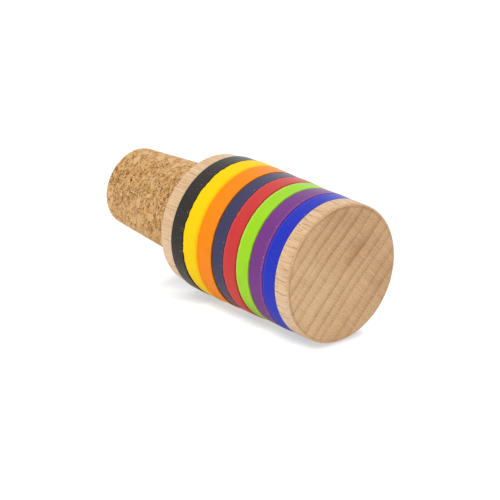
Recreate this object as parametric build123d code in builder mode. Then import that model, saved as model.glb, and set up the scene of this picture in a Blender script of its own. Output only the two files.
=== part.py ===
"""Bottle stopper: a turned beech head, a stack of stretch-on silicone bands and a tapered cork plug.

The stopper stands on the flat end of its head with the cork up. The origin is the centre of that
end, and +Z runs along the axis towards the cork's tip. Lengths are in millimetres.
"""

import os

from build123d import *

# The beech head: one turned spool, with a waist and a rim at each end that stands above it
waist_radius = 13.75
end_rim_height = 2.3
end_rim_width = 4.2
shoulder_rim_height = 1.5
shoulder_rim_width = 4.3
end_edge_break = 0.5
shoulder_edge_radius = 0.7
groove_corner_radius = 0.25

# The cork: a straight root glued into a socket in the shoulder, then the taper
socket_wall = 2.5
cork_shoulder_radius = 11.25
cork_tip_radius = 9.05
cork_taper_length = 26.25
cork_root_length = 8.0
cork_tip_edge = 0.3
glue_gap = 0.3

# The silicone bands, from the flat end towards the cork: name, width, and the wall's thickness at
# the edge on the head's side and at the edge on the cork's side
band_table = (
    ("blue_band", 4.05, 2.05, 2.35),
    ("purple_band", 4.80, 2.35, 2.05),
    ("lime_band", 4.15, 2.05, 2.30),
    ("red_band", 4.25, 2.25, 2.35),
    ("navy_band", 3.80, 2.25, 2.25),
    ("orange_band", 4.75, 2.25, 2.35),
    ("yellow_band", 4.80, 2.35, 2.40),
    ("black_band", 4.40, 2.30, 2.05),
)
band_edge_radius = 0.3

# Places that follow from the sizes above
end_rim_radius = waist_radius + end_rim_height
shoulder_rim_radius = waist_radius + shoulder_rim_height
groove_length = sum(width for name, width, head_side, cork_side in band_table)
groove_start = end_rim_width
groove_end = groove_start + groove_length
shoulder_height = groove_end + shoulder_rim_width
socket_radius = waist_radius - socket_wall
socket_depth = cork_root_length + glue_gap
tip_height = shoulder_height + cork_taper_length

os.makedirs("parts", exist_ok=True)


def finish(piece, name):
    """Name a finished piece and write it."""
    piece.part.label = name
    export_step(piece.part, f"parts/{name}.step")


# The head is turned from one dowel: flat end, rim, groove for the bands, lower rim, shoulder
with BuildPart() as wooden_head:
    with BuildSketch(Plane.XZ):
        with BuildLine():
            Polyline(
                (0, 0),
                (end_rim_radius, 0),
                (end_rim_radius, groove_start),
                (waist_radius, groove_start),
                (waist_radius, groove_end),
                (shoulder_rim_radius, groove_end),
                (shoulder_rim_radius, shoulder_height),
                (0, shoulder_height),
                close=True,
            )
        make_face()
    revolve(axis=Axis.Z)
    # The edges of the two rims, from the flat end up: end, groove, groove, shoulder
    rim_circles = wooden_head.edges().filter_by(GeomType.CIRCLE)
    rim_circles = rim_circles.filter_by(lambda edge: edge.radius > waist_radius + groove_corner_radius)
    end_edge, lower_corner, upper_corner, shoulder_edge = rim_circles.sort_by(Axis.Z)
    chamfer(end_edge, end_edge_break)
    fillet([lower_corner, upper_corner], groove_corner_radius)
    fillet(shoulder_edge, shoulder_edge_radius)
    # The blind socket for the cork's root
    with Locations((0, 0, shoulder_height)):
        Hole(socket_radius, depth=socket_depth)
finish(wooden_head, "wooden_head")

# The cork plug is one piece: its root fills the socket, and its taper enters the bottle
with BuildPart() as cork_plug:
    with BuildSketch(Plane.XZ):
        with BuildLine():
            Polyline(
                (0, shoulder_height),
                (cork_shoulder_radius, shoulder_height),
                (cork_tip_radius, tip_height),
                (0, tip_height),
                close=True,
            )
        make_face()
    revolve(axis=Axis.Z)
    with BuildSketch(Plane.XY.offset(shoulder_height)):
        Circle(socket_radius)
    extrude(amount=-cork_root_length)
    tip_edge = cork_plug.edges().filter_by(GeomType.CIRCLE).sort_by(Axis.Z)[-1]
    fillet(tip_edge, cork_tip_edge)
finish(cork_plug, "cork_plug")

# Each band is a moulded ring that grips the waist and touches its neighbours side to side
band_start = groove_start
for name, width, head_side, cork_side in band_table:
    band_end = band_start + width
    with BuildPart() as band:
        with BuildSketch(Plane.XZ) as section:
            with BuildLine():
                Polyline(
                    (waist_radius, band_start),
                    (waist_radius + head_side, band_start),
                    (waist_radius + cork_side, band_end),
                    (waist_radius, band_end),
                    close=True,
                )
            make_face()
            outer_corners = section.vertices().sort_by(Axis.X)[-2:]
            fillet(outer_corners, band_edge_radius)
        revolve(axis=Axis.Z)
    finish(band, name)
    band_start = band_end
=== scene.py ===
import math

import bmesh
import bpy
from mathutils import Matrix, Vector, noise


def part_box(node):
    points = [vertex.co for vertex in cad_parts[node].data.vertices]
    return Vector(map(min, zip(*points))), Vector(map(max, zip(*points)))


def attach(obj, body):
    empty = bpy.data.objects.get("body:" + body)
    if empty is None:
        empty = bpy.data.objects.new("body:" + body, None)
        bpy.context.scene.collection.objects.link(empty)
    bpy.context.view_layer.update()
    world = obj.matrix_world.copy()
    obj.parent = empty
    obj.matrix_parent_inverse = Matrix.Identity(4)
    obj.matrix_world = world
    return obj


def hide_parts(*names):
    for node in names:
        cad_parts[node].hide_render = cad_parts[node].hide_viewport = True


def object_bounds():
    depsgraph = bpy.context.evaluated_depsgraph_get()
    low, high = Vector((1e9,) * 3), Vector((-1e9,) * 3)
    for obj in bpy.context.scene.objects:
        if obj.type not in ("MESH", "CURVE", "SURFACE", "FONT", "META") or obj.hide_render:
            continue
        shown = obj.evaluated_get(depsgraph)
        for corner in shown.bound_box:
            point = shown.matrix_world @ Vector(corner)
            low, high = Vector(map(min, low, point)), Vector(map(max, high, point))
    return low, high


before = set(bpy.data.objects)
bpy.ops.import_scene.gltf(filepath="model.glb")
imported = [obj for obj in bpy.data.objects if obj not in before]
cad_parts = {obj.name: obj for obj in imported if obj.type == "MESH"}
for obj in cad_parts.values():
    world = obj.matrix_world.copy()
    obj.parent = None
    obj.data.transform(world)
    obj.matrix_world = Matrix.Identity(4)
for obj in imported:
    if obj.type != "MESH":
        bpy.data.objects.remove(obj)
cad_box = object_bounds()

# The head: one spool turned from a beech dowel, with a rim at each end and a groove for the bands.
# It is bare wood, sanded by hand, so the break along the edge of its flat end is uneven. The socket
# for the cork is bored into its shoulder.
MM = 0.001


def radii(node, low=-1.0, high=1.0):
    """How far a CAD node's points between two heights lie from the axis."""
    places = [v.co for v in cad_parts[node].data.vertices]
    return [math.hypot(p.x, p.y) for p in places if low < p.z < high]


end_rim_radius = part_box("wooden_head")[1].x
shoulder_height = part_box("wooden_head")[1].z
groove_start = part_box("blue_band")[0].z
groove_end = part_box("black_band")[1].z
waist_radius = min(radii("blue_band"))
shoulder_rim_radius = max(radii("wooden_head", low=groove_end))
socket_radius = min(radii("wooden_head", low=groove_end))
glue_gap = 0.3 * MM
socket_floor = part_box("cork_plug")[0].z - glue_gap
end_break = 0.36 * MM
end_break_unevenness = 0.35
slow_wander = 2.6
quick_wander = 9.0
quick_wander_share = 0.3
shoulder_round = 0.7 * MM
groove_round = 0.25 * MM
sharp_edge = math.radians(32)
head_segments = 360
face_steps = 24
break_steps = 4
side_steps = 8
groove_round_steps = 5
shoulder_round_steps = 7
shoulder_steps = 6


def arc(radius, height, size, start, end, steps):
    """Points on a quarter round of a turned profile, as (radius, height)."""
    angles = [math.radians(start + (end - start) * k / steps) for k in range(steps + 1)]
    return [(radius + size * math.cos(a), height + size * math.sin(a)) for a in angles]


def straight(first, last, steps):
    """Points between two corners of a turned profile, without the corners."""
    return [
        (first[0] + (last[0] - first[0]) * k / steps, first[1] + (last[1] - first[1]) * k / steps)
        for k in range(1, steps)
    ]


def waver(turn, often, seed):
    """A smooth noise round the axis, between -1 and 1, that joins up with itself."""
    return noise.noise(Vector((math.cos(turn) * often, math.sin(turn) * often, seed)))


def head_profile(turn):
    """The head's half section at one turn angle, from the middle of the flat end to the socket's floor."""
    slow = end_break_unevenness * waver(turn, slow_wander, 4.0)
    quick = quick_wander_share * end_break_unevenness * waver(turn, quick_wander, 7.0)
    size = end_break * (1.0 + slow + quick)
    middle = (0.0, 0.0)
    end_corner = (end_rim_radius - size, 0.0)
    side_corner = (end_rim_radius, size)
    lower = (end_rim_radius, groove_start - groove_round)
    upper = (shoulder_rim_radius, groove_end + groove_round)
    shoulder = (shoulder_rim_radius, shoulder_height - shoulder_round)
    lip = (shoulder_rim_radius - shoulder_round, shoulder_height)
    mouth = (socket_radius, shoulder_height)
    points = [middle, *straight(middle, end_corner, face_steps)]
    points += [end_corner, *straight(end_corner, side_corner, break_steps), side_corner]
    points += straight(side_corner, lower, side_steps)
    points += arc(lower[0] - groove_round, lower[1], groove_round, 0, 90, groove_round_steps)
    points += [(waist_radius, groove_start), (waist_radius, groove_end)]
    points += arc(upper[0] - groove_round, upper[1], groove_round, -90, 0, groove_round_steps)
    points += straight(upper, shoulder, side_steps)
    points += arc(lip[0], shoulder[1], shoulder_round, 0, 90, shoulder_round_steps)
    points += [*straight(lip, mouth, shoulder_steps), mouth]
    points += [(socket_radius, socket_floor), (0.0, socket_floor)]
    return points


def turned(name, profile, segments):
    """A solid of revolution about Z whose half section may change with the turn angle."""
    mesh = bpy.data.meshes.new(name)
    shape = bmesh.new()
    rows = []
    for k in range(segments):
        turn = 2 * math.pi * k / segments
        spin = (math.cos(turn), math.sin(turn))
        rows.append([shape.verts.new((r * spin[0], r * spin[1], z)) for r, z in profile(turn)])
    for k in range(segments):
        here = rows[k]
        there = rows[(k + 1) % segments]
        for a, b, c, d in zip(here, there, there[1:], here[1:]):
            shape.faces.new((a, b, c, d))
    bmesh.ops.remove_doubles(shape, verts=shape.verts, dist=1e-7)
    bmesh.ops.recalc_face_normals(shape, faces=shape.faces)
    shape.to_mesh(mesh)
    shape.free()
    mesh.shade_smooth()
    mesh.set_sharp_from_angle(angle=sharp_edge)
    piece = bpy.data.objects.new(name, mesh)
    bpy.context.scene.collection.objects.link(piece)
    return piece


def colour(red, green, blue):
    """A linear colour from the 0 to 255 values of a swatch."""
    shares = [c / 255 for c in (red, green, blue)]
    return tuple(c / 12.92 if c <= 0.04045 else ((c + 0.055) / 1.055) ** 2.4 for c in shares) + (1.0,)


def grey(level):
    """A linear grey of one level."""
    return (level, level, level, 1.0)


def add(tree, kind, inputs=None, **settings):
    """Add a node to a tree, with its settings and with its inputs set or linked."""
    made = tree.nodes.new(kind)
    for key, value in settings.items():
        setattr(made, key, value)
    for key, value in (inputs or {}).items():
        if isinstance(value, bpy.types.NodeSocket):
            tree.links.new(value, made.inputs[key])
        else:
            made.inputs[key].default_value = value
    return made


def sums(tree, operation, *values, clamp=False):
    """A Math node's value, from numbers or sockets."""
    made = add(tree, "ShaderNodeMath", dict(enumerate(values)), operation=operation, use_clamp=clamp)
    return made.outputs[0]


def times(tree, first, *others):
    """The product of numbers or sockets."""
    for other in others:
        first = sums(tree, "MULTIPLY", first, other)
    return first


def plus(tree, first, *others, clamp=False):
    """The sum of numbers or sockets; with clamp, it is held between 0 and 1."""
    for other in others[:-1]:
        first = sums(tree, "ADD", first, other)
    return sums(tree, "ADD", first, others[-1], clamp=clamp)


def minus(tree, first, second):
    """The difference of two numbers or sockets."""
    return sums(tree, "SUBTRACT", first, second)


def vectors(tree, operation, *values, scale=None):
    """A Vector Math node's vector."""
    inputs = dict(enumerate(values))
    if scale is not None:
        inputs["Scale"] = scale
    return add(tree, "ShaderNodeVectorMath", inputs, operation=operation).outputs[0]


def measure(tree, operation, *values):
    """A Vector Math node's number, such as a length or a distance."""
    return add(tree, "ShaderNodeVectorMath", dict(enumerate(values)), operation=operation).outputs["Value"]


def in_mm(tree, place):
    """A place in millimetres, from one in metres."""
    return vectors(tree, "SCALE", place, scale=1.0 / MM)


def xyz(tree, vector):
    """The X, Y and Z of a vector."""
    return add(tree, "ShaderNodeSeparateXYZ", {"Vector": vector}).outputs


def point(tree, x=0.0, y=0.0, z=0.0):
    """A vector from its X, Y and Z."""
    return add(tree, "ShaderNodeCombineXYZ", {"X": x, "Y": y, "Z": z}).outputs[0]


def span(tree, value, low, high, to_low=0.0, to_high=1.0):
    """A value taken from one range to another and held inside it."""
    settings = {"Value": value, "From Min": low, "From Max": high, "To Min": to_low, "To Max": to_high}
    return add(tree, "ShaderNodeMapRange", settings).outputs[0]


def ramp(tree, factor, *stops):
    """A colour ramp's colour; each stop is a place and a colour."""
    made = add(tree, "ShaderNodeValToRGB", {"Fac": factor})
    elements = made.color_ramp.elements
    while len(elements) < len(stops):
        elements.new(1.0)
    for element, (place, shade) in zip(elements, stops):
        element.position = place
        element.color = shade
    return made.outputs["Color"]


def mix(tree, factor, first, second, blend="MIX"):
    """A colour mix of two colours or sockets."""
    made = add(tree, "ShaderNodeMix", data_type="RGBA", blend_type=blend)
    for socket, value in ((made.inputs[0], factor), (made.inputs[6], first), (made.inputs[7], second)):
        if isinstance(value, bpy.types.NodeSocket):
            tree.links.new(value, socket)
        else:
            socket.default_value = value
    return made.outputs[2]


def noise_at(tree, place, often, detail=2.0, roughness=0.5):
    """A noise value between 0 and 1 at a place."""
    settings = {"Vector": place, "Scale": often, "Detail": detail, "Roughness": roughness}
    return add(tree, "ShaderNodeTexNoise", settings).outputs["Fac"]


def grain_at(tree, place, stretch, detail=2.0, roughness=0.5):
    """A noise value whose spots are drawn out; the stretch says how often it changes along each axis."""
    return noise_at(tree, vectors(tree, "MULTIPLY", place, stretch), 1.0, detail, roughness)


def swing(tree, value, size):
    """A noise value made into a swing to both sides."""
    return times(tree, minus(tree, value, 0.5), 2.0 * size)


def new_material(name):
    """A material with only a Principled shader and its output."""
    made = bpy.data.materials.new(name)
    made.use_nodes = True
    return made, made.node_tree, made.node_tree.nodes["Principled BSDF"]


# each growth line has its depth across the layers, in millimetres, and its darkness
ring_turn = math.radians(13.0)
ring_lines = (
    (-12.5, 0.75), (-9.7, 0.5), (-5.75, 0.62), (-3.5, 0.82), (-0.55, 1.0),
    (3.05, 0.64), (5.9, 0.88), (8.05, 0.42), (9.65, 0.9), (12.35, 0.72),
)
ring_rise = 0.2
ring_fade = 1.6
ring_gap = 0.5
ring_rest = 0.07
ring_crispness = 2.2
ring_reach = 16.0
dark_patch = (2.6, -0.1, 0.0)
dark_patch_stretch = (0.45, 1.0, 0.0)
rubbed_edge = (14.95, 15.4)
# the heights between which the corners beside the bands carry a painted highlight
corner_highlight_from = (1.2, 1.6)
corner_highlight_to = (41.5, 41.2)
# how often each marking changes per millimetre
ray_grain = (3.2, 0.16, 1.0)
thin_ray_grain = (5.0, 0.2, 1.0)
streak_grain = (0.8, 0.8, 0.05)
fine_grain = (4.2, 4.2, 0.14)
dash_grain = (3.1, 3.1, 0.16)
tick_grain = (4.4, 4.4, 0.4)
pore_grain = 3.6
cloud_grain = 0.12
thin_ray_limits = (0.56, 0.7)
dash_limits = (0.66, 0.73)
tick_limits = (0.58, 0.71)
# how much each marking counts
ring_weight = 0.46
ray_weight = 0.25
pore_weight = 0.85
cloud_weight = 0.2
patch_weight = 0.25
streak_weight = 0.9
fine_weight = 1.1
dash_weight = 0.75
wood_bump = 0.35
wood_bump_depth = 0.05 * MM
wood_gloss = 0.4
end_grain_light = colour(233, 196, 150)
end_grain_dark = colour(163, 114, 67)
side_pale = colour(233, 200, 160)
side_warm = colour(212, 166, 119)
# the pale of the side across the layers, which also carries a painted sheen
quarter_pale_and_sheen = colour(243, 215, 184)
# the near white of the painted highlight on the corners beside the bands
corner_highlight = colour(252, 240, 224)
dash_brown = colour(158, 110, 70)

beech, tree, shader = new_material("beech")
surface = add(tree, "ShaderNodeTexCoord").outputs
wood_mm = in_mm(tree, surface["Object"])
height_mm = xyz(tree, wood_mm)["Z"]
# growth rings lie in nearly flat layers, bent on one side; each one starts with a dark line that fades
along_grain = vectors(tree, "MULTIPLY", wood_mm, (1.0, 1.0, 0.02))
layer = add(tree, "ShaderNodeMapping", {"Vector": along_grain, "Rotation": (0, 0, -ring_turn)}).outputs[0]
layer_spot = xyz(tree, layer)
layer_depth = times(tree, layer_spot["Y"], -1.0)
bend = times(tree, span(tree, layer_spot["X"], 1.0, 11.0, 0.0, 0.8), span(tree, layer_depth, -9.0, -6.0))
slow_bend = swing(tree, noise_at(tree, along_grain, 0.16), 0.2)
quick_bend = swing(tree, noise_at(tree, along_grain, 0.8), 0.13)
layer_depth = plus(tree, layer_depth, bend, slow_bend, quick_bend)
ring_stops = []
next_lines = [line for line, strength in ring_lines[1:]] + [ring_reach]
for (line, strength), next_line in zip(ring_lines, next_lines):
    fade = min(ring_fade, next_line - line - ring_gap)
    for step, shade in ((-ring_rise, 0.0), (0.0, strength), (fade, ring_rest * strength)):
        place = (line + step + ring_reach) / (2 * ring_reach)
        ring_stops.append((place, grey(shade ** (1 / ring_crispness))))
rings = ramp(tree, span(tree, layer_depth, -ring_reach, ring_reach), *ring_stops)
rings = sums(tree, "POWER", rings, ring_crispness)
ring_evenness = span(tree, noise_at(tree, along_grain, 0.45), 0.3, 0.7, 0.75, 1.2)
rings = times(tree, rings, ring_evenness, span(tree, layer_spot["X"], 4.0, 11.0, 1.0, 0.85))
# rays cross the rings, pores are fine dots, and one dark patch lies beside the middle
rays = grain_at(tree, layer, ray_grain, 3.0, 0.6)
thin_rays = span(tree, grain_at(tree, layer, thin_ray_grain, 1.0), *thin_ray_limits)
thin_rays = times(tree, thin_rays, span(tree, layer_depth, -2.0, -7.0, 0.08, 0.22))
pores = noise_at(tree, along_grain, pore_grain, 2.0, 0.7)
cloud = noise_at(tree, along_grain, cloud_grain)
from_patch = measure(tree, "DISTANCE", vectors(tree, "MULTIPLY", layer, dark_patch_stretch), dark_patch)
patch = times(tree, span(tree, from_patch, 3.2, 0.8), span(tree, layer_spot["X"], 0.2, 2.6))
end_shade = plus(tree, times(tree, rings, ring_weight), swing(tree, rays, ray_weight))
end_shade = minus(tree, end_shade, thin_rays)
end_shade = plus(tree, end_shade, swing(tree, pores, pore_weight), swing(tree, cloud, cloud_weight))
end_shade = plus(tree, end_shade, times(tree, patch, patch_weight))
end_shade = plus(tree, end_shade, span(tree, layer_depth, -9.0, -6.0, 0.09, 0.0))
end_shade = plus(tree, end_shade, span(tree, layer_depth, 4.0, 12.0, 0.0, 0.06))
end_shade = plus(tree, end_shade, span(tree, layer_spot["X"], -6.0, 8.0, 0.245, 0.455), clamp=True)
end_colour = mix(tree, end_shade, end_grain_light, end_grain_dark)
# sanding has rubbed dust into the end grain along its edge
flat_mm = vectors(tree, "MULTIPLY", wood_mm, (1.0, 1.0, 0.0))
rubbed = times(
    tree,
    span(tree, measure(tree, "LENGTH", flat_mm), *rubbed_edge),
    span(tree, cloud, 0.35, 0.6, 0.3, 0.55),
    span(tree, layer_depth, -6.0, 4.0, 0.35, 1.05),
)
end_colour = mix(tree, rubbed, end_colour, end_grain_dark)
# the turned side has wide warm streaks, fine ones, and thin dark dashes along the grain
streaks = grain_at(tree, wood_mm, streak_grain, 3.0)
fine = grain_at(tree, wood_mm, fine_grain)
side_shade = plus(tree, swing(tree, streaks, streak_weight), swing(tree, fine, fine_weight))
side_shade = plus(tree, side_shade, span(tree, height_mm, 0.2, 3.4, 0.62, 0.38), clamp=True)
side_colour = mix(tree, side_shade, side_pale, side_warm)
# where the side cuts across the layers it is paler than where it runs along them: partly the wood's figure,
# partly a painted sheen on the sides that turn away from the front
across = (math.sin(ring_turn), -math.cos(ring_turn), 0.0)
outward = measure(tree, "DOT_PRODUCT", vectors(tree, "NORMALIZE", flat_mm), across)
across_layers_and_sheen = span(tree, sums(tree, "ABSOLUTE", outward), 0.92, 0.5, 0.0, 0.48)
across_layers_and_sheen = times(tree, across_layers_and_sheen, span(tree, layer_spot["X"], -12.0, 14.0, 1.1, 0.5))
side_colour = mix(tree, across_layers_and_sheen, side_colour, quarter_pale_and_sheen)
side_colour = mix(tree, span(tree, height_mm, 0.1, 0.5, 0.45, 0.0), side_colour, side_warm)
dashes = span(tree, grain_at(tree, wood_mm, dash_grain, 1.0), *dash_limits)
ticks = span(tree, grain_at(tree, wood_mm, tick_grain, 1.0), *tick_limits)
ticks = times(tree, ticks, span(tree, height_mm, 3.0, 8.0, 1.0, 0.4))
dash_mask = times(tree, sums(tree, "MAXIMUM", dashes, ticks), dash_weight)
side_colour = mix(tree, dash_mask, side_colour, dash_brown)
# the flat end and the shoulder show end grain, and the corners beside the bands get a near white painted
# highlight
facing = sums(tree, "ABSOLUTE", xyz(tree, surface["Normal"])["Z"])
endness = span(tree, facing, 0.8, 0.95)
beside_bands = times(tree, span(tree, height_mm, *corner_highlight_from), span(tree, height_mm, *corner_highlight_to))
corner_highlight_mask = times(tree, span(tree, facing, 0.1, 0.4, 0.0, 0.9), beside_bands)
wood_colour = mix(tree, corner_highlight_mask, side_colour, corner_highlight)
wood_colour = mix(tree, endness, wood_colour, end_colour)
tree.links.new(wood_colour, shader.inputs["Base Color"])
tree.links.new(span(tree, pores, 0.2, 0.8, 0.42, 0.6), shader.inputs["Roughness"])
side_height = minus(tree, times(tree, fine, 0.5), dash_mask)
end_height = minus(tree, times(tree, pores, 0.9), times(tree, rings, 0.2))
height = mix(tree, endness, side_height, end_height)
bump = add(tree, "ShaderNodeBump", {"Height": height, "Strength": wood_bump, "Distance": wood_bump_depth})
tree.links.new(bump.outputs[0], shader.inputs["Normal"])
shader.inputs["Specular IOR Level"].default_value = wood_gloss

head = turned("turned_beech_head", head_profile, head_segments)
head.data.materials.append(beech)
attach(head, "root")
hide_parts("wooden_head")

# The cork: a tapered plug of pressed cork granules, glued by its straight root into the head's socket.
# The granules lie flat across the plug, so they look drawn out round it, and a few larger chips lie
# among them. Cracks run between some, and pits and holes are left where crumbs fell out; the cracks,
# pits and holes are coloured a darker brown, a painted shade in these hollows.
root_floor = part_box("cork_plug")[0].z
tip_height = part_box("cork_plug")[1].z
cork_tip_radius = max(radii("cork_plug", low=tip_height - 1.0 * MM))
cork_shoulder_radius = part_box("cork_plug")[1].x
tip_round = 0.3 * MM
plug_segments = 400
plug_rows = 190
plug_fill_rings = 26
granule_size = 1.05
granule_flatness = 2.1
granule_relief = 0.06 * MM
crack_depth = 0.25 * MM
pit_depth = 0.34 * MM
chip_size = 3.0
chip_limits = (0.8, 0.82)
seam_reach = 0.11
crack_limits = (0.44, 0.58)
pit_grain = (0.6, 0.6, 1.1)
pit_often = 1.5
pit_limits = (0.59, 0.70)
hole_limits = (0.67, 0.71)
coarse_sides = 3.0
coarse_turn = 0.3


def turn_at(tree, spot):
    """The angle round the axis, which is 0 on the side that faces the camera."""
    return sums(tree, "ARCTAN2", spot["X"], times(tree, spot["Y"], -1.0))


def cells(tree, place, often):
    """Random cells at a place: one random value per cell, and the distance to the cell's edge."""
    inputs = {"Vector": place, "Scale": often}
    shade = add(tree, "ShaderNodeTexVoronoi", inputs).outputs["Color"]
    gap = add(tree, "ShaderNodeTexVoronoi", inputs, feature="DISTANCE_TO_EDGE").outputs["Distance"]
    return xyz(tree, shade)["X"], gap


def granule_pattern(tree, place, size, flatness):
    """Granules, chips, cracks and pits at a place in millimetres, the same for the shape and the colour."""
    flat = vectors(tree, "MULTIPLY", place, point(tree, 1.0, 1.0, flatness))
    shake = add(tree, "ShaderNodeTexNoise", {"Vector": flat, "Scale": 0.9, "Detail": 2.0}).outputs["Color"]
    bent = vectors(tree, "ADD", flat, vectors(tree, "SUBTRACT", shake, (0.5, 0.5, 0.5)))
    # on some sides the plug is coarser, with more pits and fewer chips
    turn = turn_at(tree, xyz(tree, place))
    coarse = sums(tree, "COSINE", minus(tree, times(tree, turn, coarse_sides), coarse_turn))
    granule, granule_gap = cells(tree, bent, sums(tree, "DIVIDE", 1.0, size))
    chip_value, chip_gap = cells(tree, bent, 1 / chip_size)
    picked = span(tree, minus(tree, chip_value, times(tree, coarse, 0.3)), *chip_limits)
    chip = times(tree, picked, span(tree, chip_gap, 0.02, 0.07))
    chip_rim = times(tree, picked, span(tree, chip_gap, 0.015, 0.06, 0.75, 0.0))
    loose = minus(tree, 1.0, chip)
    seam = times(tree, span(tree, granule_gap, 0.0, seam_reach, 1.0, 0.0), loose)
    crack = times(tree, seam, span(tree, noise_at(tree, flat, 0.45), *crack_limits))
    pits = noise_at(tree, vectors(tree, "MULTIPLY", bent, pit_grain), pit_often, 2.0, 0.6)
    pits = plus(tree, pits, times(tree, coarse, 0.03))
    return {
        "place": flat,
        "granule": granule,
        "chip": chip,
        "seam": seam,
        "crack": sums(tree, "MAXIMUM", crack, chip_rim),
        "pit": times(tree, span(tree, pits, *pit_limits), loose),
        "hole": times(tree, span(tree, pits, *hole_limits), loose),
    }


def new_tree(name, numbers, counts=()):
    """A geometry tree with named numbers, counts and a material as inputs, and one geometry output."""
    made = bpy.data.node_groups.new(name, "GeometryNodeTree")
    made.interface.new_socket("Geometry", in_out="OUTPUT", socket_type="NodeSocketGeometry")
    for kind, names in (("Float", numbers), ("Int", counts), ("Material", ("Material",))):
        for socket_name in names:
            made.interface.new_socket(socket_name, in_out="INPUT", socket_type=f"NodeSocket{kind}")
    return made, made.nodes.new("NodeGroupInput").outputs


def keep(tree, geometry, name, value, kind="FLOAT"):
    """Store a value under a name on a geometry's points."""
    inputs = {"Geometry": geometry, "Name": name, "Value": value}
    return add(tree, "GeometryNodeStoreNamedAttribute", inputs, data_type=kind, domain="POINT").outputs[0]


def finish_tree(tree, geometry, material):
    """Smooth the tree's result, make it one plain mesh and give it its material."""
    smooth = add(tree, "GeometryNodeSetShadeSmooth", {"Geometry": geometry}).outputs[0]
    solid = add(tree, "GeometryNodeRealizeInstances", {"Geometry": smooth}).outputs[0]
    painted = add(tree, "GeometryNodeSetMaterial", {"Geometry": solid, "Material": material}).outputs[0]
    add(tree, "NodeGroupOutput", {"Geometry": painted})


def grown(name, tree, values):
    """A plain mesh object from a geometry tree and the values of its named inputs."""
    piece = bpy.data.objects.new(name, bpy.data.meshes.new(name))
    bpy.context.scene.collection.objects.link(piece)
    modifier = piece.modifiers.new(name, "NODES")
    modifier.node_group = tree
    for item in tree.interface.items_tree:
        if item.item_type == "SOCKET" and item.in_out == "INPUT":
            modifier[item.identifier] = values[item.name]
    bpy.context.view_layer.update()
    evaluated = piece.evaluated_get(bpy.context.evaluated_depsgraph_get())
    made = bpy.data.meshes.new_from_object(evaluated)
    piece.modifiers.remove(modifier)
    piece.data = made
    made.name = name
    return piece


cork_tree, given = new_tree("pressed cork plug", (
    "Root Floor", "Shoulder Height", "Tip Height", "Shoulder Radius", "Tip Radius", "Tip Round",
    "Granule Size", "Granule Flatness", "Relief", "Crack Depth", "Pit Depth",
))
tree = cork_tree
plug = add(tree, "GeometryNodeMeshCylinder", {
    "Vertices": plug_segments, "Side Segments": plug_rows, "Fill Segments": plug_fill_rings,
    "Radius": 1.0, "Depth": 1.0,
}).outputs["Mesh"]
spot = xyz(tree, add(tree, "GeometryNodeInputPosition").outputs[0])
length = minus(tree, given["Tip Height"], given["Root Floor"])
level = plus(tree, given["Root Floor"], times(tree, plus(tree, spot["Z"], 0.5), length))
taper_heights = (given["Shoulder Height"], given["Tip Height"])
radius = span(tree, level, *taper_heights, given["Shoulder Radius"], given["Tip Radius"])
# the tip's edge is rounded, so the last bit of the taper pulls in on a quarter circle
short = minus(tree, given["Tip Round"], minus(tree, given["Tip Height"], level))
short = sums(tree, "DIVIDE", sums(tree, "MAXIMUM", short, 0.0), given["Tip Round"])
chord = sums(tree, "SQRT", sums(tree, "SUBTRACT", 1.0, times(tree, short, short), clamp=True))
radius = minus(tree, radius, times(tree, minus(tree, 1.0, chord), given["Tip Round"]))
placed = point(tree, times(tree, spot["X"], radius), times(tree, spot["Y"], radius), level)
plain = add(tree, "GeometryNodeSetPosition", {"Geometry": plug, "Position": placed}).outputs[0]
# the plain place is kept, so that the colours follow the same granules as the relief
plain_place = add(tree, "GeometryNodeInputPosition").outputs[0]
kept = keep(tree, plain, "granule_place", plain_place, "FLOAT_VECTOR")
kept_name = {"Name": "granule_place"}
kept_place = add(tree, "GeometryNodeInputNamedAttribute", kept_name, data_type="FLOAT_VECTOR").outputs[0]
found = granule_pattern(tree, in_mm(tree, kept_place), given["Granule Size"], given["Granule Flatness"])
sink = plus(
    tree,
    times(tree, found["seam"], given["Relief"]),
    times(tree, found["crack"], given["Crack Depth"]),
    times(tree, found["pit"], given["Pit Depth"]),
)
# the relief starts above the shoulder and is calmer at the tip's edge
kept_level = xyz(tree, kept_place)["Z"]
above = span(tree, minus(tree, kept_level, given["Shoulder Height"]), 0.05 * MM, 0.3 * MM)
calm = span(tree, minus(tree, given["Tip Height"], kept_level), 0.0, 1.5 * MM, 0.6, 1.0)
sink = times(tree, sink, above, calm)
outwards = add(tree, "GeometryNodeInputNormal").outputs[0]
inward = vectors(tree, "SCALE", outwards, scale=times(tree, sink, -1.0))
relief = add(tree, "GeometryNodeSetPosition", {"Geometry": kept, "Offset": inward}).outputs[0]
finish_tree(tree, relief, given["Material"])

cork_brown = colour(189, 137, 76)
cork_gold = colour(221, 171, 107)
cork_tan = colour(229, 186, 132)
cork_pale = colour(236, 199, 152)
# the darker browns of the cracks, pits and holes are painted shade in these hollows
crack_shade_brown = colour(136, 84, 26)
pit_shade_brown = colour(110, 62, 10)
hole_shade_brown = colour(74, 40, 12)
granule_shades = (
    (0.0, cork_brown), (0.2, cork_gold), (0.5, cork_tan), (0.75, cork_gold), (1.0, cork_pale),
)
crumb_shades = ((0.3, grey(0.66)), (0.5, grey(0.98)), (0.72, grey(1.16)))
seam_weight = 0.45
crack_shade_weight = 0.85
cork_bump = 0.5
cork_bump_depth = 0.12 * MM
cork_gloss = 0.12
cork_sheen = 0.12
cork_sheen_roughness = 0.4

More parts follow.
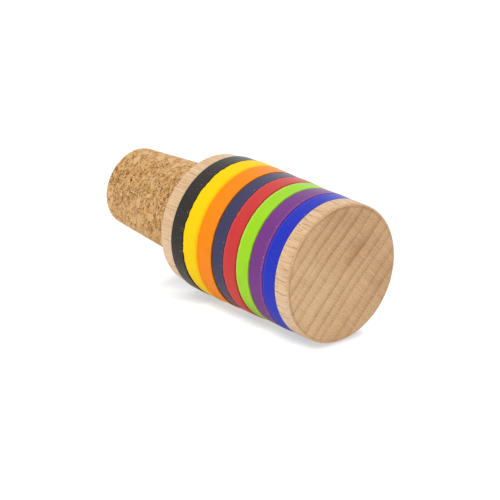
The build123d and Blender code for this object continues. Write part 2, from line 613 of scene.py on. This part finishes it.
cork, tree, shader = new_material("pressed_cork")
kept_place = add(tree, "ShaderNodeAttribute", attribute_name="granule_place").outputs["Vector"]
found = granule_pattern(tree, in_mm(tree, kept_place), granule_size, granule_flatness)
crumbs = noise_at(tree, found["place"], 2.6, 4.0, 0.7)
cork_colour = ramp(tree, found["granule"], *granule_shades)
cork_colour = mix(tree, found["chip"], cork_colour, cork_tan)
cork_colour = mix(tree, 1.0, cork_colour, ramp(tree, crumbs, *crumb_shades), "MULTIPLY")
cork_colour = mix(tree, times(tree, found["seam"], seam_weight), cork_colour, cork_brown)
# painted shade: the cracks and chip outlines, the pits and the holes are darkened
cork_colour = mix(tree, times(tree, found["crack"], crack_shade_weight), cork_colour, crack_shade_brown)
cork_colour = mix(tree, found["pit"], cork_colour, pit_shade_brown)
cork_colour = mix(tree, found["hole"], cork_colour, hole_shade_brown)
tree.links.new(cork_colour, shader.inputs["Base Color"])
tree.links.new(span(tree, crumbs, 0.2, 0.8, 0.75, 0.95), shader.inputs["Roughness"])
shader.inputs["Specular IOR Level"].default_value = cork_gloss
shader.inputs["Sheen Weight"].default_value = cork_sheen
shader.inputs["Sheen Roughness"].default_value = cork_sheen_roughness
bump = add(tree, "ShaderNodeBump", {"Height": crumbs, "Strength": cork_bump, "Distance": cork_bump_depth})
tree.links.new(bump.outputs[0], shader.inputs["Normal"])

cork_plug = grown("pressed_cork_plug", cork_tree, {
    "Root Floor": root_floor, "Shoulder Height": shoulder_height, "Tip Height": tip_height,
    "Shoulder Radius": cork_shoulder_radius, "Tip Radius": cork_tip_radius, "Tip Round": tip_round,
    "Granule Size": granule_size, "Granule Flatness": granule_flatness,
    "Relief": granule_relief, "Crack Depth": crack_depth, "Pit Depth": pit_depth, "Material": cork,
})
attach(cork_plug, "root")
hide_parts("cork_plug")

# The bands: eight moulded silicone rings, stretched over the rim into the groove side by side. Each is
# matte and a little dusty. Its edges wander and fray where it was trimmed and carry crumbs of flash;
# a painted highlight lies a little inside the proud edges and a painted shade along the joins between
# bands, and some sit a little deeper on the side that lies on the sheet.
band_edge = 0.3 * MM
edge_wander = 0.07 * MM
swell = 0.06 * MM
slow_waves = 1.3
wander_waves = 3.2
fray_waves = 15.0
burr_angle = math.radians(-9.0)
fixed_core = 0.5 * MM
outer_cuts = 9
edge_steps = 6
band_segments = 420
mark_start = 0.1 * MM
# how far the painted shade beside the join between bands reaches
seam_shade_width = 0.3 * MM
blush_width = 1.1 * MM
# where the painted highlight lies inside a proud edge
highlight_inner = 0.25 * MM
highlight_outer = (0.38 * MM, 0.68 * MM)
crumb_radius = 0.14 * MM
crumb_sunk = 0.12 * MM
crumb_inset = (0.3 * MM, 0.75 * MM)
crumb_least = (0.6, 0.6, 0.6)
crumb_most = (1.3, 1.3, 1.0)
# a pair of values is for a band's head side and its cork side
# highlight is the colour of the painted highlight inside a proud edge
band_looks = {
    "blue": {"shade": colour(22, 44, 190), "highlight": colour(78, 86, 208), "gloss": 0.2, "dust": 0.03,
             "edge_highlights": (0.1, 0.35), "seam_shades": (0.6, 0.2), "crumbs": 3},
    "purple": {"shade": colour(117, 46, 132), "highlight": colour(156, 78, 180), "gloss": 0.2, "dust": 0.04,
               "edge_highlights": (0.7, 0.0), "seam_shades": (0.35, 0.7), "crumbs": 30},
    "lime": {"shade": colour(158, 220, 8), "highlight": colour(208, 224, 100), "gloss": 0.24, "dust": 0.01,
             "edge_highlights": (0.0, 0.7), "seam_shades": (0.45, 0.0), "crumbs": 4},
    "red": {"shade": colour(209, 48, 46), "highlight": colour(208, 100, 108), "gloss": 0.24, "dust": 0.02,
            "edge_highlights": (0.0, 0.3), "seam_shades": (0.4, 0.1), "crumbs": 4},
    "navy": {"shade": colour(52, 50, 90), "highlight": colour(110, 108, 140), "gloss": 0.24, "dust": 0.05,
             "edge_highlights": (0.15, 0.0), "seam_shades": (0.3, 0.8), "crumbs": 10},
    "orange": {"shade": colour(255, 142, 22), "highlight": colour(255, 190, 110), "gloss": 0.06, "dust": 0.01,
               "edge_highlights": (0.0, 0.0), "seam_shades": (0.8, 0.0), "crumbs": 16},
    "yellow": {"shade": colour(255, 216, 20), "highlight": colour(255, 234, 120), "gloss": 0.02, "dust": 0.01,
               "edge_highlights": (0.0, 0.0), "seam_shades": (0.0, 0.3), "crumbs": 6},
    "black": {"shade": colour(36, 30, 28), "highlight": colour(96, 90, 84), "gloss": 0.22, "dust": 0.08,
              "edge_highlights": (0.0, 0.0), "seam_shades": (0.5, 0.3), "crumbs": 14},
}
burrs = {"yellow": (0.0, 0.25 * MM), "black": (0.25 * MM, 0.0)}
blushes = {"yellow": (0.5, colour(255, 142, 10))}
# a band frays on its head side, and the band before it follows with its cork side
frays = {
    "purple": 0.24 * MM, "lime": 0.16 * MM, "red": 0.12 * MM, "navy": 0.5 * MM,
    "orange": 0.12 * MM, "yellow": 0.06 * MM, "black": 0.4 * MM,
}
# how much deeper a band's cork side sits towards the sheet
seats = {
    "lime": -0.17 * MM, "red": -0.08 * MM, "navy": -0.16 * MM, "orange": -0.18 * MM, "yellow": -0.27 * MM,
}

band_tree, given = new_tree("moulded band", (
    "Waist Radius", "Start", "Width", "Edge", "Wander", "Swell", "Burr Angle",
    "Head Side Radius", "Head Side Seed", "Head Side Highlight", "Head Side Seam Shade", "Head Side Burr",
    "Head Side Fray", "Head Side Blush",
    "Cork Side Radius", "Cork Side Seed", "Cork Side Highlight", "Cork Side Seam Shade", "Cork Side Burr",
    "Cork Side Fray", "Cork Side Seat",
), counts=("Crumbs", "Crumb Seed"))
tree = band_tree


def is_corner(tree, number):
    """Whether a point of the section is the one with this number."""
    index = add(tree, "GeometryNodeInputIndex").outputs[0]
    both = {2: index, 3: number}
    return add(tree, "FunctionNodeCompare", both, data_type="INT", operation="EQUAL").outputs[0]


# the section has its two outer corners rounded and is swept round the waist
low = times(tree, given["Start"], -1.0)
high = minus(tree, low, given["Width"])
head_wall = minus(tree, given["Head Side Radius"], given["Waist Radius"])
cork_wall = minus(tree, given["Cork Side Radius"], given["Waist Radius"])
section = add(tree, "GeometryNodeCurvePrimitiveQuadrilateral", {
    "Point 1": point(tree, 0.0, low), "Point 2": point(tree, head_wall, low),
    "Point 3": point(tree, cork_wall, high), "Point 4": point(tree, 0.0, high),
}, mode="POINTS").outputs[0]
cuts = times(tree, is_corner(tree, 1), float(outer_cuts))
section = add(tree, "GeometryNodeSubdivideCurve", {"Curve": section, "Cuts": cuts}).outputs[0]
corners = plus(tree, is_corner(tree, 1), is_corner(tree, 2 + outer_cuts))
rounds = {"Curve": section, "Radius": times(tree, corners, given["Edge"]), "Count": edge_steps}
section = add(tree, "GeometryNodeFilletCurve", rounds, mode="POLY").outputs[0]
waist = {"Resolution": band_segments, "Radius": given["Waist Radius"]}
circle = add(tree, "GeometryNodeCurvePrimitiveCircle", waist).outputs[0]
ring = add(tree, "GeometryNodeCurveToMesh", {"Curve": circle, "Profile Curve": section}).outputs[0]
ring = add(tree, "GeometryNodeFlipFaces", {"Mesh": ring}).outputs[0]


def beside(tree, distance, reach):
    """A mask that is full along an edge and fades out at a reach."""
    return span(tree, distance, mark_start, reach, 1.0, 0.0)


def highlight_line(tree, distance, strength):
    """A line that lies a little inside an edge, where a painted highlight goes."""
    inner = span(tree, distance, mark_start, highlight_inner)
    outer = span(tree, distance, *highlight_outer, 1.0, 0.0)
    return times(tree, inner, outer, strength)


# the two proud edges get a painted highlight a little inside them, and the join beside each edge
# gets a painted shade; both are marked for the material
spot = xyz(tree, add(tree, "GeometryNodeInputPosition").outputs[0])
level_place = point(tree, spot["X"], spot["Y"])
around = vectors(tree, "NORMALIZE", level_place)
outness = measure(tree, "LENGTH", level_place)
from_head = minus(tree, spot["Z"], given["Start"])
from_cork = minus(tree, given["Width"], from_head)
share = sums(tree, "DIVIDE", from_head, given["Width"], clamp=True)
head_seam_shade = times(tree, beside(tree, from_head, seam_shade_width), given["Head Side Seam Shade"])
cork_seam_shade = times(tree, beside(tree, from_cork, seam_shade_width), given["Cork Side Seam Shade"])
head_highlight = highlight_line(tree, from_head, given["Head Side Highlight"])
cork_highlight = highlight_line(tree, from_cork, given["Cork Side Highlight"])
ring = keep(tree, ring, "lip", plus(tree, head_highlight, cork_highlight))
ring = keep(tree, ring, "seam", plus(tree, head_seam_shade, cork_seam_shade))
blush = times(tree, beside(tree, from_head, blush_width), given["Head Side Blush"])
ring = keep(tree, ring, "blush", blush)


def round_noise(tree, around, seed, waves):
    """A noise round the ring, from -1 to 1, that joins up with itself."""
    inputs = {"Vector": around, "W": seed, "Scale": waves}
    made = add(tree, "ShaderNodeTexNoise", inputs, noise_dimensions="4D")
    return swing(tree, made.outputs["Fac"], 1.0)


def edge_move(tree, given, side, around, burr):
    """How far one edge of the ring lies from its plain place along the axis."""
    seed = given[f"{side} Seed"]
    wander = times(tree, round_noise(tree, around, seed, wander_waves), given["Wander"])
    step = times(tree, burr, given[f"{side} Burr"])
    fray = times(tree, round_noise(tree, around, seed, fray_waves), given[f"{side} Fray"])
    return plus(tree, wander, step, fray)


# the edges wander along the axis, and a burr steps one seam
past_burr = minus(tree, given["Burr Angle"], turn_at(tree, spot))
burr = times(tree, span(tree, past_burr, 0.0, 0.02), span(tree, past_burr, 0.1, 1.2, 1.0, 0.0))
head_move = edge_move(tree, given, "Head Side", around, burr)
cork_move = edge_move(tree, given, "Cork Side", around, burr)
lift = span(tree, share, 0.0, 1.0, head_move, cork_move)
# the ring swells a little, and its cork side sits deeper towards the sheet
dip = minus(tree, round_noise(tree, around, given["Cork Side Seed"], slow_waves), 1.0)
dip = times(tree, dip, times(tree, given["Swell"], 0.5))
under = sums(tree, "MAXIMUM", times(tree, xyz(tree, around)["X"], -1.0), 0.0)
seat = span(tree, share, 0.0, 1.0, 0.0, given["Cork Side Seat"])
dip = plus(tree, dip, times(tree, under, seat))
move = vectors(tree, "ADD", vectors(tree, "SCALE", around, scale=dip), point(tree, z=lift))
outer = sums(tree, "GREATER_THAN", outness, plus(tree, given["Waist Radius"], fixed_core))
moved = {"Geometry": ring, "Selection": outer, "Offset": move}
ring = add(tree, "GeometryNodeSetPosition", moved).outputs[0]


def random_number(tree, low, high, seed):
    """One random number per point."""
    inputs = {2: low, 3: high, "Seed": seed}
    return add(tree, "FunctionNodeRandomValue", inputs, data_type="FLOAT").outputs[1]


# crumbs of flash stick to the surface near the head side edge
crumb_turn = random_number(tree, 0.0, 2 * math.pi, given["Crumb Seed"])
crumb_in = random_number(tree, *crumb_inset, given["Crumb Seed"])
crumb_out = minus(tree, given["Head Side Radius"], crumb_sunk)
crumb_place = point(
    tree,
    times(tree, sums(tree, "COSINE", crumb_turn), crumb_out),
    times(tree, sums(tree, "SINE", crumb_turn), crumb_out),
    plus(tree, given["Start"], crumb_in),
)
places = add(tree, "GeometryNodePoints", {"Count": given["Crumbs"], "Position": crumb_place}).outputs[0]
crumb = add(tree, "GeometryNodeMeshIcoSphere", {"Radius": crumb_radius, "Subdivisions": 2}).outputs["Mesh"]
crumb_limits = {"Min": crumb_least, "Max": crumb_most, "Seed": given["Crumb Seed"]}
crumb_size = add(tree, "FunctionNodeRandomValue", crumb_limits, data_type="FLOAT_VECTOR").outputs[0]
scattered = {"Points": places, "Instance": crumb, "Scale": crumb_size}
crumbs = add(tree, "GeometryNodeInstanceOnPoints", scattered).outputs[0]
crumbs = add(tree, "GeometryNodeRealizeInstances", {"Geometry": crumbs}).outputs[0]
crumbs = keep(tree, crumbs, "crumb", 1.0)
joined = add(tree, "GeometryNodeJoinGeometry")
tree.links.new(crumbs, joined.inputs[0])
tree.links.new(ring, joined.inputs[0])
finish_tree(tree, joined.outputs[0], given["Material"])

dust_grey = grey(0.7)
speck_weight = 2.5
speck_often = 1.7
speck_size = 0.22
crumb_grey = grey(0.8)
crumb_weight = 0.36
# the darkening of the painted shade along the join between bands
seam_shade_grey = grey(0.12)
skin_bump = 0.25
skin_bump_depth = 0.03 * MM
skin_inputs = {
    "Colour": "Color", "Highlight Colour": "Color", "Blush Colour": "Color", "Dust": "Float", "Seed": "Float",
}
skin_outputs = {"Colour": "Color", "Roughness": "Float", "Height": "Float"}
skin = bpy.data.node_groups.new("dusty silicone skin", "ShaderNodeTree")
for in_out, sockets in (("INPUT", skin_inputs), ("OUTPUT", skin_outputs)):
    for socket_name, kind in sockets.items():
        skin.interface.new_socket(socket_name, in_out=in_out, socket_type=f"NodeSocket{kind}")


def mark(tree, name):
    """The value that the band's geometry tree stored under a name."""
    return add(tree, "ShaderNodeAttribute", attribute_name=name).outputs["Fac"]


tree = skin
given = tree.nodes.new("NodeGroupInput").outputs
skin_mm = in_mm(tree, add(tree, "ShaderNodeTexCoord").outputs["Object"])
skin_mm = vectors(tree, "ADD", skin_mm, point(tree, given["Seed"], given["Seed"]))
cloud = ramp(tree, noise_at(tree, skin_mm, 0.3, 3.0, 0.6), (0.3, grey(0.955)), (0.7, grey(1.03)))
skin_colour = mix(tree, 1.0, given["Colour"], cloud, "MULTIPLY")
grain = noise_at(tree, skin_mm, 5.0, 3.0, 0.6)
specks = add(tree, "ShaderNodeTexVoronoi", {"Vector": skin_mm, "Scale": speck_often}).outputs
speck_reach = span(tree, xyz(tree, specks["Color"])["X"], 0.6, 1.0, 0.0, speck_size)
speck = sums(tree, "LESS_THAN", specks["Distance"], speck_reach)
film = span(tree, grain, 0.5, 0.8)
dust = times(tree, plus(tree, times(tree, speck, speck_weight), film), given["Dust"])
patchy = span(tree, noise_at(tree, skin_mm, 1.3, 3.0, 0.65), 0.3, 0.6, 0.3, 1.0)
skin_colour = mix(tree, dust, skin_colour, dust_grey)
# a painted highlight a little inside the proud edges
skin_colour = mix(tree, times(tree, mark(tree, "lip"), patchy), skin_colour, given["Highlight Colour"])
skin_colour = mix(tree, mark(tree, "blush"), skin_colour, given["Blush Colour"])
skin_colour = mix(tree, times(tree, mark(tree, "crumb"), crumb_weight), skin_colour, crumb_grey)
# a painted shade along the join between bands, a dark copy of the band's colour
seam_shade_colour = mix(tree, 1.0, given["Colour"], seam_shade_grey, "MULTIPLY")
skin_colour = mix(tree, mark(tree, "seam"), skin_colour, seam_shade_colour)
add(tree, "NodeGroupOutput", {
    "Colour": skin_colour,
    "Roughness": span(tree, grain, 0.2, 0.8, 0.24, 0.38),
    "Height": plus(tree, grain, speck),
})


def silicone(name, gloss, values):
    """Matte moulded silicone in one colour, with some dust; the values go to the skin's inputs."""
    made, tree, shader = new_material(name)
    finish = add(tree, "ShaderNodeGroup", node_tree=skin)
    for socket_name, value in values.items():
        finish.inputs[socket_name].default_value = value
    relief = {"Height": finish.outputs["Height"], "Strength": skin_bump, "Distance": skin_bump_depth}
    bump = add(tree, "ShaderNodeBump", relief)
    tree.links.new(finish.outputs["Colour"], shader.inputs["Base Color"])
    tree.links.new(finish.outputs["Roughness"], shader.inputs["Roughness"])
    tree.links.new(bump.outputs[0], shader.inputs["Normal"])
    shader.inputs["Specular IOR Level"].default_value = gloss
    return made


edge_seeds_apart = 3.0
skin_seeds_apart = 11.0
for k, (name, look) in enumerate(band_looks.items()):
    node = f"{name}_band"
    low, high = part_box(node)
    middle = (low.z + high.z) / 2
    next_name = (list(band_looks) + [""])[k + 1]
    burr = burrs.get(name, (0.0, 0.0))
    blush, blush_colour = blushes.get(name, (0.0, look["shade"]))
    material = silicone(f"{name}_silicone", look["gloss"], {
        "Colour": look["shade"], "Highlight Colour": look["highlight"], "Blush Colour": blush_colour,
        "Dust": look["dust"], "Seed": skin_seeds_apart * k,
    })
    band = grown(f"{name}_silicone_band", band_tree, {
        "Waist Radius": waist_radius, "Start": low.z, "Width": high.z - low.z, "Edge": band_edge,
        "Wander": edge_wander, "Swell": swell, "Burr Angle": burr_angle,
        "Head Side Radius": max(radii(node, high=middle)),
        "Cork Side Radius": max(radii(node, low=middle)),
        "Head Side Seed": edge_seeds_apart * k, "Cork Side Seed": edge_seeds_apart * (k + 1),
        "Head Side Highlight": look["edge_highlights"][0], "Cork Side Highlight": look["edge_highlights"][1],
        "Head Side Seam Shade": look["seam_shades"][0], "Cork Side Seam Shade": look["seam_shades"][1],
        "Head Side Burr": burr[0], "Cork Side Burr": burr[1],
        "Head Side Fray": frays.get(name, 0.0), "Cork Side Fray": frays.get(next_name, 0.0),
        "Head Side Blush": blush, "Cork Side Seat": seats.get(name, 0.0),
        "Crumbs": look["crumbs"], "Crumb Seed": k, "Material": material,
    })
    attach(band, "root")
    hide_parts(node)

# The stage: the stopper lies on a white sheet in the picture, so one sheet touches the head's side.
# A second sheet lies under the flat end for views from above. Both show only from their front.
lying_turn = math.radians(58.71)
photo_up = Vector((math.sin(lying_turn), -math.cos(lying_turn), 0.0))
axis = Vector((0, 0, 1))
low_side = photo_up.cross(axis)
rest_radius = cad_box[1].x
end_gap = 0.1 * MM
sheet_size = 0.7
paper_white = grey(0.97)
gap_glow = 0.75
gap_width = (3.0 * MM, 9.0 * MM)
gap_from = (-1.0 * MM, 1.0 * MM)
gap_to = (42.0 * MM, 46.0 * MM)
shoulder_shadow_from = (35.5 * MM, 50.0 * MM)
shoulder_shadow_to = (51.0 * MM, 58.0 * MM)
shoulder_shadow_reach = 6.0 * MM
shadow_growth = (-2.0 * MM, 6.0 * MM)
shadow_reach = (1.8 * MM, 2.6 * MM)
end_shadow_limit = (17.2 * MM, 19.2 * MM)
shadow_catch = grey(0.16)
contact_levels = (0.56, 0.95)


def sheet(name, centre, normal, size):
    """A flat square that faces along its normal."""
    mesh = bpy.data.meshes.new(name)
    turn = normal.to_track_quat("Z", "Y").to_matrix()
    half = size / 2
    square = ((-half, -half), (half, -half), (half, half), (-half, half))
    corners = [centre + turn @ Vector((x, y, 0)) for x, y in square]
    mesh.from_pydata(corners, [], [(0, 1, 2, 3)])
    made = bpy.data.objects.new(name, mesh)
    bpy.context.scene.collection.objects.link(made)
    return made


def white_sheet(name, only_camera):
    """White paper that keeps the contact shadow, is white to the camera, and is clear from behind."""
    made, tree, shader = new_material(name)
    tree.nodes.remove(shader)
    rays = add(tree, "ShaderNodeLightPath").outputs
    behind = add(tree, "ShaderNodeNewGeometry").outputs["Backfacing"]
    seen = sums(tree, "MAXIMUM", rays["Is Camera Ray"], rays["Is Transmission Ray"])
    spot = add(tree, "ShaderNodeTexCoord").outputs["Object"]
    along = xyz(tree, spot)["Z"]
    # to other rays it is plain paper, which glows in the gap under the head
    aside = sums(tree, "ABSOLUTE", measure(tree, "DOT_PRODUCT", spot, low_side))
    in_gap = span(tree, aside, *gap_width, 1.0, 0.0)
    under_head = times(tree, span(tree, along, *gap_from), span(tree, along, *gap_to, 1.0, 0.0))
    paper = add(tree, "ShaderNodeMixShader", {
        0: times(tree, in_gap, under_head),
        1: add(tree, "ShaderNodeBsdfDiffuse", {"Color": paper_white}).outputs[0],
        2: add(tree, "ShaderNodeEmission", {"Color": grey(1.0), "Strength": gap_glow}).outputs[0],
    }).outputs[0]
    # to the camera it is white, with a contact shadow that reaches further out beside the shoulder
    shoulder_reach = span(tree, along, *shoulder_shadow_from, 0.0, shoulder_shadow_reach)
    shoulder_reach = times(tree, shoulder_reach, span(tree, along, *shoulder_shadow_to, 1.0, 0.0))
    reach = plus(tree, shoulder_reach, span(tree, along, *shadow_growth, *shadow_reach))
    contact = add(tree, "ShaderNodeAmbientOcclusion", {"Distance": reach}, samples=16).outputs["AO"]
    hidden = behind
    if only_camera:
        far_off = span(tree, measure(tree, "LENGTH", spot), *end_shadow_limit)
        contact = sums(tree, "MAXIMUM", contact, far_off)
        hidden = sums(tree, "MAXIMUM", behind, minus(tree, 1.0, rays["Is Camera Ray"]))
    brightness = span(tree, contact, 0.3, 1.0, *contact_levels)
    faint = add(tree, "ShaderNodeBsdfDiffuse", {"Color": shadow_catch}).outputs[0]
    glow = add(tree, "ShaderNodeEmission", {"Color": grey(1.0), "Strength": brightness}).outputs[0]
    lit = add(tree, "ShaderNodeAddShader", {0: faint, 1: glow}).outputs[0]
    front = add(tree, "ShaderNodeMixShader", {0: seen, 1: paper, 2: lit}).outputs[0]
    clear = add(tree, "ShaderNodeBsdfTransparent").outputs[0]
    shown = add(tree, "ShaderNodeMixShader", {0: hidden, 1: front, 2: clear}).outputs[0]
    tree.links.new(shown, tree.nodes["Material Output"].inputs["Surface"])
    return made


side_sheet = sheet("sheet_under_the_side", photo_up * -rest_radius, photo_up, sheet_size)
side_sheet.data.materials.append(white_sheet("white_sheet", False))
end_sheet = sheet("sheet_under_the_end", axis * -end_gap, axis, sheet_size)
end_sheet.data.materials.append(white_sheet("white_sheet_below", True))
end_sheet.visible_shadow = False

# The light: a white room with two large soft lamps, one above the lying stopper towards its cork, and
# one low on the side that the camera sees.
room_level = 0.86
lamp_size = 0.5
lamp_distance = 0.7
lamps = {
    "lamp_above": (photo_up * 0.8 + axis * 0.5, 1.1),
    "lamp_low": (low_side * 0.9 + photo_up * 0.06 - axis * 0.3, 0.5),
}
world = bpy.data.worlds.new("white room")
world.use_nodes = True
bpy.context.scene.world = world
tree = world.node_tree
rays = add(tree, "ShaderNodeLightPath").outputs
seen = sums(tree, "MAXIMUM", rays["Is Glossy Ray"], rays["Is Transmission Ray"])
seen = sums(tree, "MAXIMUM", rays["Is Camera Ray"], seen)
tree.nodes["Background"].inputs["Color"].default_value = grey(1.0)
tree.links.new(span(tree, seen, 0.0, 1.0, room_level, 1.0), tree.nodes["Background"].inputs["Strength"])
for name, (side, power) in lamps.items():
    lamp_data = bpy.data.lights.new(name, "AREA")
    lamp_data.shape = "SQUARE"
    lamp_data.size = lamp_size
    lamp_data.energy = power
    lamp = bpy.data.objects.new(name, lamp_data)
    bpy.context.scene.collection.objects.link(lamp)
    lamp.location = side.normalized() * lamp_distance
    lamp.rotation_mode = "QUATERNION"
    lamp.rotation_quaternion = side.to_track_quat("Z", "Y")
    lamp.visible_glossy = False

# The camera: a long lens that looks up past the flat end, rolled so that the stopper lies on its side.
# It stands so that the middle of the flat end falls on its place in the picture.
image_size = 500
focal_pixels = 5000
end_centre_pixel = (341.61, 273.93)
camera_depth = 1.0977
look_up = math.radians(43.89)
roll = math.radians(66.66)
forward = Vector((0, math.cos(look_up), math.sin(look_up)))
level_up = Vector((0, -math.sin(look_up), math.cos(look_up)))
image_up = level_up * math.cos(roll) + Vector((1, 0, 0)) * math.sin(roll)
image_right = forward.cross(image_up)
camera_data = bpy.data.cameras.new("camera")
camera_data.sensor_width = 36.0
camera_data.lens = camera_data.sensor_width * focal_pixels / image_size
camera_data.clip_end = 10.0
camera = bpy.data.objects.new("camera", camera_data)
bpy.context.scene.collection.objects.link(camera)
aside = (end_centre_pixel[0] - image_size / 2) / focal_pixels * camera_depth
below = (end_centre_pixel[1] - image_size / 2) / focal_pixels * camera_depth
stand = -forward * camera_depth - image_right * aside + image_up * below
camera.matrix_world = Matrix((
    (image_right.x, image_up.x, -forward.x, stand.x),
    (image_right.y, image_up.y, -forward.y, stand.y),
    (image_right.z, image_up.z, -forward.z, stand.z),
    (0, 0, 0, 1),
))
bpy.context.scene.camera = camera
bpy.context.scene.view_settings.view_transform = "Standard"
